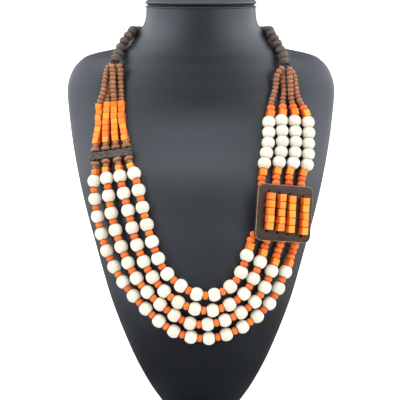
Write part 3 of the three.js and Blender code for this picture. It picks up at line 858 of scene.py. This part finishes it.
def drilled_block(kind):
    size = BEADS[kind]
    piece = boxed("pattern_" + kind, (size["across"], size["across"], size["along"]))
    modify(piece, "BEVEL", width=BLOCK_RIM, segments=2)
    drill_through(piece, [(0, 0)], size["along"], size["hole"], BLOCK_HOLE_SIDES)
    return piece


patterns = {}
for kind, size in BEADS.items():
    patterns[kind] = turned_bead(kind) if "flat" in size else drilled_block(kind)
    print(kind, "faces", len(patterns[kind].data.polygons))

# %% [markdown]
# ## The threads
#
# A thread's way is a smooth curve through points that lie a little above the chest. Beads are rigid
# and straight, so each one sits with its middle on the curve and points along it. The gaps between
# them come from the length that is left over.

# %% A smooth way through points
ROUTE_STEPS = 800


class Route:
    """A centripetal curve through points, measured along its length."""

    def __init__(self, points):
        first = points[0] * 2 - points[1]
        last = points[-1] * 2 - points[-2]
        self.points = [first, *points, last]
        self.pieces = len(points) - 1
        self.lengths = [0]
        before = self.at_share(0)
        for k in range(1, ROUTE_STEPS + 1):
            here = self.at_share(k / ROUTE_STEPS)
            self.lengths.append(self.lengths[-1] + (here - before).length)
            before = here
        self.length = self.lengths[-1]

    def at_share(self, share):
        i = min(int(share * self.pieces), self.pieces - 1)
        t = share * self.pieces - i
        p0, p1, p2, p3 = self.points[i:i + 4]
        d0, d1, d2 = (math.sqrt((b - a).length) for a, b in ((p0, p1), (p1, p2), (p2, p3)))
        m1 = ((p1 - p0) / d0 - (p2 - p0) / (d0 + d1) + (p2 - p1) / d1) * d1
        m2 = ((p2 - p1) / d1 - (p3 - p1) / (d1 + d2) + (p3 - p2) / d2) * d1
        return (
            p1 + m1 * t + (-3 * p1 + 3 * p2 - 2 * m1 - m2) * t**2 + (2 * p1 - 2 * p2 + m1 + m2) * t**3
        )

    def share_of(self, place):
        place = min(max(place, 0), self.length)
        low, high = 0, ROUTE_STEPS
        while high - low > 1:
            middle = (low + high) // 2
            if self.lengths[middle] <= place:
                low = middle
            else:
                high = middle
        step = self.lengths[high] - self.lengths[low]
        return (low + (place - self.lengths[low]) / step) / ROUTE_STEPS

    def at(self, place):
        return self.at_share(self.share_of(place))

    def along(self, place):
        share = self.share_of(place)
        return (self.at_share(min(share + 1e-4, 1)) - self.at_share(max(share - 1e-4, 0))).normalized()

    def length_to(self, row):
        """How far along the curve one of its own points lies."""
        return self.lengths[round(ROUTE_STEPS * row / self.pieces)]

# %% Bar, plaque and junctions in place
THREAD_RADIUS = 0.0005
BEAD_GAP = 0.00015
SEAT_GAP = 0.0003
BAR = {"x": -0.0675, "z": 0.2269, "lift": 0.0041, "turn": 10}
BAR_SIZE = (0.034, 0.0046, 0.0051)
BAR_HOLES = (-0.0124, -0.0041, 0.0043, 0.0128)
BAR_CLEAR = 0.0009
HOLE_RADIUS = 0.001
PLAQUE = {"x": 0.0612, "z": 0.1856, "lift": 0.0092, "turn": -7.5}
PLAQUE_SIZE = (0.0464, 0.042, 0.0026)
PLAQUE_CORNER = 0.005
PLAQUE_COLUMNS = (0.015, 0.0037, -0.0049, -0.0139)
PLAQUE_MIDDLES = (-0.0012, -0.0003, 0.0004, 0.0009)
BLOCKS_ON_PLAQUE = 5
BLOCK_PITCH = 0.0055
BLOCK_STAND = 0.0005
HOLE_REACH = BLOCKS_ON_PLAQUE * BLOCK_PITCH / 2 + HOLE_RADIUS
BEHIND_PLAQUE = 0.0022
PAST_HOLE = 0.0012
ABOVE_HOLE = 0.0008

# %% Junctions of the four strings
JUNCTIONS = {
    "left": {"x": -0.0644, "z": 0.297, "lift": 0.0062, "side": -1},
    "right": {"x": 0.0632, "z": 0.2946, "lift": 0.0062, "side": 1},
}
THREAD_SPREAD = 0.0026
JUNCTION_ROOM = 0.00015
JUNCTION_DROP = 0.008
JUNCTION_FALL = 0.0007
JUNCTION_SPREAD = 0.001


def chest_facing(point):
    return outward(point.x, point.z).normalized()


def frame_on_chest(x, z, lift, turn):
    """Where a flat piece lies: its middle, and its across, upright and outward directions."""
    out = outward(x, z).normalized()
    across = Vector((0, 0, 1)).cross(out).normalized()
    across.rotate(Matrix.Rotation(math.radians(turn), 3, out))
    return {"middle": on_chest(x, z, lift), "across": across, "upright": out.cross(across), "out": out}


def in_frame(flat, a, u, o):
    return flat["middle"] + flat["across"] * a + flat["upright"] * u + flat["out"] * o


def junction_frame(x, z, lift, side):
    """Directions at a junction bead: down the strings, out to the side and to the front."""
    middle = on_chest(x, z, lift)
    below = on_chest(x + side * JUNCTION_SPREAD, z - JUNCTION_DROP, lift - JUNCTION_FALL)
    down = (below - middle).normalized()
    across = down.cross(chest_facing(middle)).normalized()
    front = across.cross(down).normalized()
    across *= math.copysign(1, across.x) * side
    return {"middle": middle, "down": down, "across": across, "front": front}


def thread_at_junction(junction, at):
    reach = BEADS["large"]["along"] / 2 + SEAT_GAP
    return (junction["middle"] + junction["down"] * reach
            + junction["across"] * THREAD_SPREAD * at[0] + junction["front"] * THREAD_SPREAD * at[1])


bar_frame = frame_on_chest(**BAR)
plaque_frame = frame_on_chest(**PLAQUE)
left_junction = junction_frame(**JUNCTIONS["left"])
right_junction = junction_frame(**JUNCTIONS["right"])
for name, flat in (("bar", bar_frame), ("plaque", plaque_frame)):
    print(name, "at", [round(v, 4) for v in flat["middle"]])

# %% Ways of the four strings on the chest
# Each point is x, z and the height of the thread above the chest.
STRINGS = [
    {
        "name": "string_outer", "whites": 19, "lower_rounds": 4,
        "at_left": (1, -1), "at_right": (1, -1),
        "left": [(-0.0701, 0.2905, 0.0034), (-0.0725, 0.28, 0.0054), (-0.0738, 0.272, 0.0063),
            (-0.0761, 0.2658, 0.0054), (-0.0768, 0.259, 0.0032), (-0.0773, 0.245, 0.003),
            (-0.0787, 0.236, 0.0032)],
        "lower": [(-0.0792, 0.219, 0.0043), (-0.079, 0.213, 0.0048), (-0.08, 0.206, 0.0058),
            (-0.0773, 0.181, 0.0058), (-0.0702, 0.156, 0.0058), (-0.0578, 0.134, 0.0058),
            (-0.04, 0.115, 0.0058), (-0.018, 0.0988, 0.0058), (0.007, 0.0946, 0.0058),
            (0.031, 0.1028, 0.0058), (0.0513, 0.1193, 0.0058), (0.0632, 0.142, 0.0056),
            (0.0674, 0.1522, 0.0042), (0.0696, 0.158, 0.0037)],
        "right": [(0.0748, 0.205, 0.0037), (0.0764, 0.2135, 0.0042), (0.0795, 0.219, 0.0055),
            (0.0807, 0.2345, 0.0057), (0.0808, 0.2486, 0.0055), (0.0792, 0.2553, 0.0048),
            (0.0766, 0.2615, 0.0034), (0.0728, 0.269, 0.0031), (0.0714, 0.277, 0.003),
            (0.0694, 0.286, 0.003)],
    },
    {
        "name": "string_second", "whites": 17, "lower_rounds": 4,
        "at_left": (-1, -1), "at_right": (1, 1),
        "left": [(-0.0643, 0.2905, 0.0037), (-0.0672, 0.281, 0.0033), (-0.0697, 0.272, 0.0029),
            (-0.0709, 0.262, 0.003), (-0.0714, 0.237, 0.0032)],
        "lower": [(-0.0711, 0.2215, 0.0043), (-0.071, 0.2145, 0.0048), (-0.07, 0.208, 0.0058),
            (-0.0663, 0.183, 0.0058), (-0.059, 0.16, 0.0058), (-0.047, 0.1373, 0.0058),
            (-0.0294, 0.1194, 0.0058), (-0.007, 0.106, 0.0058), (0.018, 0.1086, 0.0058),
            (0.041, 0.1224, 0.0058), (0.053, 0.145, 0.0056), (0.0565, 0.1558, 0.0042),
            (0.0586, 0.161, 0.0037)],
        "right": [(0.0653, 0.206, 0.0037), (0.0662, 0.215, 0.0042), (0.0689, 0.221, 0.0055),
            (0.0709, 0.2363, 0.0057), (0.0704, 0.2506, 0.0055), (0.0705, 0.2568, 0.0048),
            (0.0689, 0.263, 0.0033), (0.0678, 0.27, 0.005), (0.0674, 0.278, 0.0068),
            (0.0666, 0.287, 0.0088)],
    },
    {
        "name": "string_third", "whites": 15, "lower_rounds": 3,
        "at_left": (1, 1), "at_right": (-1, -1),
        "left": [(-0.0669, 0.2915, 0.0082), (-0.0664, 0.2805, 0.0082), (-0.066, 0.272, 0.0072),
            (-0.0656, 0.2658, 0.0048), (-0.0655, 0.259, 0.0032), (-0.0643, 0.239, 0.0032)],
        "lower": [(-0.0625, 0.2234, 0.0043), (-0.0608, 0.217, 0.0048), (-0.0598, 0.21, 0.0058),
            (-0.0538, 0.187, 0.0058), (-0.0472, 0.163, 0.0058), (-0.036, 0.1404, 0.0058),
            (-0.017, 0.1222, 0.0058), (0.008, 0.116, 0.0058), (0.031, 0.1272, 0.0058),
            (0.0433, 0.15, 0.0056), (0.0468, 0.1606, 0.0042), (0.0488, 0.166, 0.0037)],
        "right": [(0.0557, 0.207, 0.0037), (0.0566, 0.2156, 0.0042), (0.0582, 0.222, 0.0055),
            (0.0608, 0.2368, 0.0057), (0.0603, 0.2514, 0.0055), (0.0613, 0.258, 0.0042),
            (0.0615, 0.264, 0.0032), (0.0625, 0.273, 0.0035), (0.062, 0.28, 0.0041),
            (0.0616, 0.286, 0.0043)],
    },
    {
        "name": "string_inner", "whites": 13, "lower_rounds": 3,
        "at_left": (-1, 1), "at_right": (-1, 1),
        "left": [(-0.0612, 0.291, 0.0074), (-0.061, 0.2815, 0.0046), (-0.0602, 0.267, 0.0033),
            (-0.0595, 0.252, 0.0032), (-0.0572, 0.24, 0.0032)],
        "lower": [(-0.0544, 0.225, 0.0043), (-0.052, 0.2186, 0.0048), (-0.049, 0.2126, 0.0058),
            (-0.043, 0.1894, 0.0058), (-0.0362, 0.1658, 0.0058), (-0.0256, 0.1436, 0.0058),
            (-0.004, 0.1284, 0.0058), (0.009, 0.1276, 0.0058), (0.0206, 0.1328, 0.0058),
            (0.0287, 0.1422, 0.0058), (0.0332, 0.1542, 0.0056), (0.0364, 0.1636, 0.0042),
            (0.0376, 0.1695, 0.0037)],
        "right": [(0.0449, 0.207, 0.0037), (0.0461, 0.215, 0.0042), (0.0471, 0.2215, 0.0055),
            (0.0503, 0.2368, 0.0057), (0.051, 0.2514, 0.0055), (0.0524, 0.258, 0.0046),
            (0.0529, 0.264, 0.004), (0.056, 0.275, 0.004), (0.0576, 0.286, 0.0073)],
    },
]
LEFT_CUBES = 7
RIGHT_WHITES = 5
ROUNDS_ABOVE_PLAQUE = 2
FIRST_WHITE_ROW = 3

# %% Beads in a row
def lay(route, kinds, start_at, gap, facing_at=chest_facing):
    """Beads in order along a thread: kind, middle, direction of the thread, and what faces outwards."""
    laid = []
    place = start_at
    for kind in kinds:
        half = BEADS[kind]["along"] / 2
        middle = route.at(place + half)
        laid.append((kind, middle, route.along(place + half), facing_at(middle)))
        place += 2 * half + gap
    return laid


def strung(kinds):
    """Length of some beads in a row, with a gap after each."""
    return sum(BEADS[kind]["along"] + BEAD_GAP for kind in kinds)


def behind_plaque(k, end):
    """Where a thread lies behind the plaque, just past its lower hole, -1, or its upper one, 1."""
    up = PLAQUE_MIDDLES[k] + end * (HOLE_REACH + PAST_HOLE)
    return in_frame(plaque_frame, PLAQUE_COLUMNS[k], up, -PLAQUE_SIZE[2] / 2 - BEHIND_PLAQUE)


def sampled(route, step=0.0006):
    count = math.ceil(route.length / step)
    return [route.at(route.length * k / count) for k in range(count + 1)]

# %% Stretches of a string
def left_stretch(k, string):
    """From the left junction down to the bar, laid from the bar upwards."""
    bar_top = in_frame(bar_frame, BAR_HOLES[k], BAR_SIZE[2] / 2 + BAR_CLEAR, 0)
    first = thread_at_junction(left_junction, string["at_left"])
    route = Route([first, *(on_chest(*row) for row in string["left"]), bar_top])
    ending = ["cube"] * LEFT_CUBES + ["small", "flat"]
    room = route.length - JUNCTION_ROOM - strung(ending)
    kinds = ["small"] * math.floor(room / strung(["small"])) + ending
    return route, lay(route, kinds, route.length - strung(kinds), BEAD_GAP)


def lower_stretch(k, string):
    """From the bar round the front to the plaque, with the slack shared between the beads."""
    bar_bottom = in_frame(bar_frame, BAR_HOLES[k], -BAR_SIZE[2] / 2 - BAR_CLEAR, 0)
    way = [bar_bottom, *(on_chest(*row) for row in string["lower"]), behind_plaque(k, -1)]
    route = Route(way)
    kinds = ["flat", "small", "cube"] + ["white", "spacer"] * (string["whites"] - 1)
    kinds += ["white", "block"] + ["round"] * string["lower_rounds"]
    gap = BEAD_GAP + (route.length - PAST_HOLE - strung(kinds)) / len(kinds)
    return route, lay(route, kinds, gap, gap)


def plaque_column(k):
    """Blocks on the plaque's front, and the thread's way through both of its holes."""
    column, middle = PLAQUE_COLUMNS[k], PLAQUE_MIDDLES[k]
    stand = PLAQUE_SIZE[2] / 2 + BLOCK_STAND + BEADS["block"]["across"] / 2
    blocks = []
    for b in range(BLOCKS_ON_PLAQUE):
        up = middle - HOLE_REACH + HOLE_RADIUS + (b + 0.5) * BLOCK_PITCH
        spot = in_frame(plaque_frame, column, up, stand)
        blocks.append(("block", spot, plaque_frame["upright"], plaque_frame["out"]))
    back = -PLAQUE_SIZE[2] / 2
    corners = []
    for end in (-1, 1):
        hole = middle + end * HOLE_REACH
        outside = [(hole + end * PAST_HOLE, back - BEHIND_PLAQUE), (hole, back), (hole, -back + ABOVE_HOLE)]
        inside = (hole - end * (HOLE_RADIUS + BLOCK_PITCH / 2), stand)
        way = [*outside, inside] if end < 0 else [inside, *reversed(outside)]
        corners += [in_frame(plaque_frame, column, up, out) for up, out in way]
    return Route(corners), blocks


def right_stretch(k, string):
    """From the plaque up to the right junction, with the first ivory bead anchored to the curve."""
    last = thread_at_junction(right_junction, string["at_right"])
    route = Route([behind_plaque(k, 1), *(on_chest(*row) for row in string["right"]), last])
    before = ["round"] * ROUNDS_ABOVE_PLAQUE + ["block"]
    kinds = before + ["white_short"] * RIGHT_WHITES + ["block", "round"]
    first = route.length_to(FIRST_WHITE_ROW) - BEADS["white_short"]["along"] / 2 - strung(before)
    room = route.length - JUNCTION_ROOM - first - strung(kinds)
    kinds += ["small"] * math.floor(room / strung(["small"]))
    return route, lay(route, kinds, first, BEAD_GAP)

# %% [markdown]
# ## Copies of the beads
#
# Beads of one colour on one string are joined in one mesh. Each copy is turned about its thread, a
# little tilted, a little smaller and a little uneven, all from a seeded dice, because hand-cut wood
# is never regular. The copy's own coordinates go into the mesh as an attribute for the grain.

# %% Joining copies
DICE = random.Random(41)
LOOSE = {
    "turned": {"turn": 180, "tilt": 2.0, "shrink": 0.02},
    "squared": {"turn": 11, "tilt": 2.5, "shrink": 0.03},
}
UNEVEN = {"white": 0.00005, "white_short": 0.00005, "large": 0.00016, "cube": 0.00006, "block": 0.00006}
EVEN_ENOUGH = 0.00004
LUMPS = 1.6
LUMPS_APART = 90


def joined_copies(name, laid):
    corners, faces, places, numbers = [], [], [], []
    for kind, middle, along, facing in laid:
        pattern = patterns[kind].data
        squared = "flat" not in BEADS[kind]
        loose = LOOSE["squared" if squared else "turned"]
        sideways = facing.cross(along).normalized()
        upright = Matrix((sideways, along.cross(sideways), along)).transposed()
        for axis, most in zip("XYZ", (loose["tilt"], loose["tilt"], loose["turn"])):
            upright @= Matrix.Rotation(math.radians(DICE.uniform(-most, most)), 3, axis)
        size = 1 - DICE.uniform(0, loose["shrink"])
        number = DICE.random()
        wide, long = BEADS[kind]["across"] / 2, BEADS[kind]["along"] / 2
        uneven = UNEVEN.get(kind, EVEN_ENOUGH)
        first = len(corners)
        for point in pattern.vertices:
            share = Vector((point.co.x / wide, point.co.y / wide, point.co.z / long))
            bulge = noise.noise(share * LUMPS + Vector((number * LUMPS_APART, 0, 0))) * uneven
            spot = point.co * size + Vector((share.x, share.y, 0)) * (bulge - uneven / 2)
            corners.append(tuple(middle + upright @ spot))
            places += list(share)
            numbers.append(number)
        for face in pattern.polygons:
            faces.append(tuple(first + v for v in face.vertices))
    piece = linked(name, corners, faces)
    carries = piece.data.attributes
    carries.new("place", "FLOAT_VECTOR", "POINT").data.foreach_set("vector", places)
    carries.new("number", "FLOAT", "POINT").data.foreach_set("value", numbers)
    return piece

# %% The four strings
COLOURS = {
    "ivory": (ivory, ("white", "white_short")),
    "orange": (orange, ("spacer", "round")),
    "blocks": (amber, ("cube", "block")),
    "brown": (small_brown, ("small", "flat")),
}
THREAD_SIDES = 8
THREAD_TWIST = {"lobes": 2, "pitch": 0.0042, "depth": 0.14}

for k, string in enumerate(STRINGS):
    left_way, left_beads = left_stretch(k, string)
    lower_way, lower_beads = lower_stretch(k, string)
    column_way, column_blocks = plaque_column(k)
    right_way, right_beads = right_stretch(k, string)
    laid = left_beads + lower_beads + column_blocks + right_beads
    print(string["name"], "beads", len(laid))
    for colour, (made, kinds) in COLOURS.items():
        piece = joined_copies(f"{string['name']}_{colour}", [bead for bead in laid if bead[0] in kinds])
        finish(piece, made, string["name"])
    line = sampled(left_way) + sampled(lower_way)[:-1] + sampled(column_way)[:-1] + sampled(right_way)
    line = [left_junction["middle"], *line, right_junction["middle"]]
    thread = tube(f"{string['name']}_thread", line, THREAD_RADIUS, THREAD_SIDES, **THREAD_TWIST)
    finish(thread, thread_finish, string["name"], angle=60)

# %% [markdown]
# ## Round the neck
#
# Above the junctions one string of large dark beads climbs over each shoulder and lies round the
# neck. Behind the neck, where the photo doesn't reach, the two sides meet in a plain barrel clasp.

# %% Neck strings
# Each point is x, y and z. Behind the shoulders the way follows the neck at a small distance.
SHOULDERS = {
    "left": [(-0.0623, 0.0016, 0.3016), (-0.0606, 0.0038, 0.3058), (-0.058, 0.007, 0.31),
        (-0.0549, 0.0104, 0.3138), (-0.0524, 0.016, 0.3164)],
    "right": [(0.0618, -0.0008, 0.2994), (0.0598, 0.0016, 0.3043), (0.0575, 0.0054, 0.3086),
        (0.0549, 0.0094, 0.3127), (0.0528, 0.0143, 0.316)],
}
NAPE = {"side_z": 0.3166, "back_z": 0.314, "start": 0.04, "steps": 7, "clear": 0.0017}
CLASP = {"length": 0.013, "across": 0.0064}


def from_neck(point):
    return Vector((point.x, point.y - bust_value("centre", point.z), 0)).normalized()


def neck_way(junction, shoulder, side):
    """From the bottom of a junction bead over the shoulder and round to the clasp."""
    large = BEADS["large"]
    points = [junction["middle"] + junction["down"] * large["along"] / 2, junction["middle"]]
    points += [Vector(row) for row in shoulder]
    clasp_angle = CLASP["length"] / 2 / bust_value("half_width", NAPE["back_z"])
    sweep = math.pi / 2 - clasp_angle - NAPE["start"]
    for k in range(NAPE["steps"] + 1):
        angle = NAPE["start"] + k / NAPE["steps"] * sweep
        z = NAPE["side_z"] + (NAPE["back_z"] - NAPE["side_z"]) * math.sin(angle)
        reach = bust_value("half_width", z) + large["across"] / 2 + NAPE["clear"]
        depth = bust_value("neck_back", z) + large["across"] / 2 + NAPE["clear"]
        points.append(Vector((
            side * reach * math.cos(angle), bust_value("centre", z) + depth * math.sin(angle), z
        )))
    return Route(points)


neck_ends = []
for name, junction, side in (("left", left_junction, -1), ("right", right_junction, 1)):
    way = neck_way(junction, SHOULDERS[name], side)
    room = way.length - 2 * SEAT_GAP
    count = math.floor(room / (BEADS["large"]["along"] + BEAD_GAP))
    gap = room / count - BEADS["large"]["along"]
    laid = lay(way, ["large"] * count, SEAT_GAP, gap, from_neck)
    piece = joined_copies(f"neck_beads_{name}", laid)
    finish(piece, large_brown, f"neck_string_{name}")
    thread = tube(f"neck_thread_{name}", sampled(way), THREAD_RADIUS, THREAD_SIDES, **THREAD_TWIST)
    finish(thread, thread_finish, f"neck_string_{name}", angle=60)
    neck_ends.append(way.at(way.length))
    print("neck string", name, "beads", count)

# %% Clasp
CLASP_SIDES = 40
CLASP_RIM = 0.0002
# Places along the half length of the barrel, and the width there as a share.
CLASP_RINGS = [
    (-1, 0.42), (-0.94, 0.72), (-0.8, 1), (-0.1, 1), (-0.06, 0.9),
    (0.06, 0.9), (0.1, 1), (0.8, 1), (0.94, 0.72), (1, 0.42),
]


def barrel_clasp():
    """A turned barrel in two halves, built upright and laid between the ends of the neck strings."""
    left_end, right_end = neck_ends
    half = (right_end - left_end).length / 2 - SEAT_GAP
    wide = CLASP["across"] / 2
    rings = [(place * half, share * wide, share * wide, 0) for place, share in CLASP_RINGS]
    piece = stacked_ovals("barrel_clasp", rings, CLASP_SIDES)
    soften(piece, CLASP_RIM, 3, 20)
    turn = Vector((0, 0, 1)).rotation_difference(right_end - left_end)
    piece.matrix_world = Matrix.Translation((left_end + right_end) / 2) @ turn.to_matrix().to_4x4()
    return piece


finish(barrel_clasp(), brass, "clasp")

# %% [markdown]
# ## Bar and plaque
#
# Both are flat boards drilled for the threads. Each is shaped flat at the origin: a cube at its
# size, its corners and rims bevelled, and its holes cut by a modifier. The place on the board goes
# into an attribute before the board is laid on the chest, so the grain keeps to the board.

# %% Place, wear and painted highlight of a board
WEAR_AND_HIGHLIGHT_BAND = (0.02, 0.95)


def keep_place(piece, rim):
    """Store each point's place on the board, and its wear and painted highlight: full on the bevel, none on
    the flats.
    """
    points = piece.data.vertices
    half = max(p.co.z for p in points)
    places = [v for p in points for v in p.co]
    near, far = (rim * share for share in WEAR_AND_HIGHLIGHT_BAND)
    worn = [1.0 if half - far < abs(p.co.z) < half - near else 0.0 for p in points]
    carries = piece.data.attributes
    carries.new("place", "FLOAT_VECTOR", "POINT").data.foreach_set("vector", places)
    carries.new("worn", "FLOAT", "POINT").data.foreach_set("value", worn)


def laid_at(piece, flat, x, y, z):
    piece.matrix_world = Matrix.Translation(flat["middle"]) @ Matrix((x, y, z)).transposed().to_4x4()
    return piece

# %% Plaque
PLAQUE_RIM = 0.0005


def plaque_board():
    piece = boxed("plaque_board", PLAQUE_SIZE)
    edit(piece, "EDGE")
    pick(piece, "edges", lambda edge: abs(edge.verts[0].co.z - edge.verts[1].co.z) > PLAQUE_RIM)
    bpy.ops.mesh.bevel(offset=PLAQUE_CORNER, segments=10)
    done()
    soften(piece, PLAQUE_RIM, 3, 60)
    columns = zip(PLAQUE_COLUMNS, PLAQUE_MIDDLES)
    holes = [(x, middle + end * HOLE_REACH) for x, middle in columns for end in (-1, 1)]
    drill_through(piece, holes, PLAQUE_SIZE[2], HOLE_RADIUS)
    keep_place(piece, PLAQUE_RIM)
    return laid_at(piece, plaque_frame, *(plaque_frame[way] for way in ("across", "upright", "out")))


finish(plaque_board(), plaque_wood, "plaque", angle=25)

# %% Spacer bar
BAR_RIM = 0.0003
BAR_CUTS = 11
BAR_ROUGH = 0.00012
BAR_GRAIN = Vector((700, 1500, 1500))


def spacer_bar():
    piece = boxed("palm_bar", BAR_SIZE)
    edit(piece)
    bpy.ops.mesh.select_all(action="SELECT")
    bpy.ops.mesh.subdivide(number_cuts=BAR_CUTS)
    done()
    soften(piece, BAR_RIM, 2, 60)
    for point in piece.data.vertices:
        rough = noise.noise(point.co * BAR_GRAIN)
        point.co -= point.co.normalized() * BAR_ROUGH * (0.5 + 0.5 * rough)
    drill_through(piece, [(place, 0) for place in BAR_HOLES], BAR_SIZE[2], HOLE_RADIUS)
    keep_place(piece, BAR_RIM)
    return laid_at(piece, bar_frame, bar_frame["across"], -bar_frame["out"], bar_frame["upright"])


finish(spacer_bar(), bar_wood, "spacer_bar")

# %% [markdown]
# ## Closing
#
# The pattern beads were only patterns, so they go.

# %% End
for pattern in patterns.values():
    bpy.data.objects.remove(pattern)
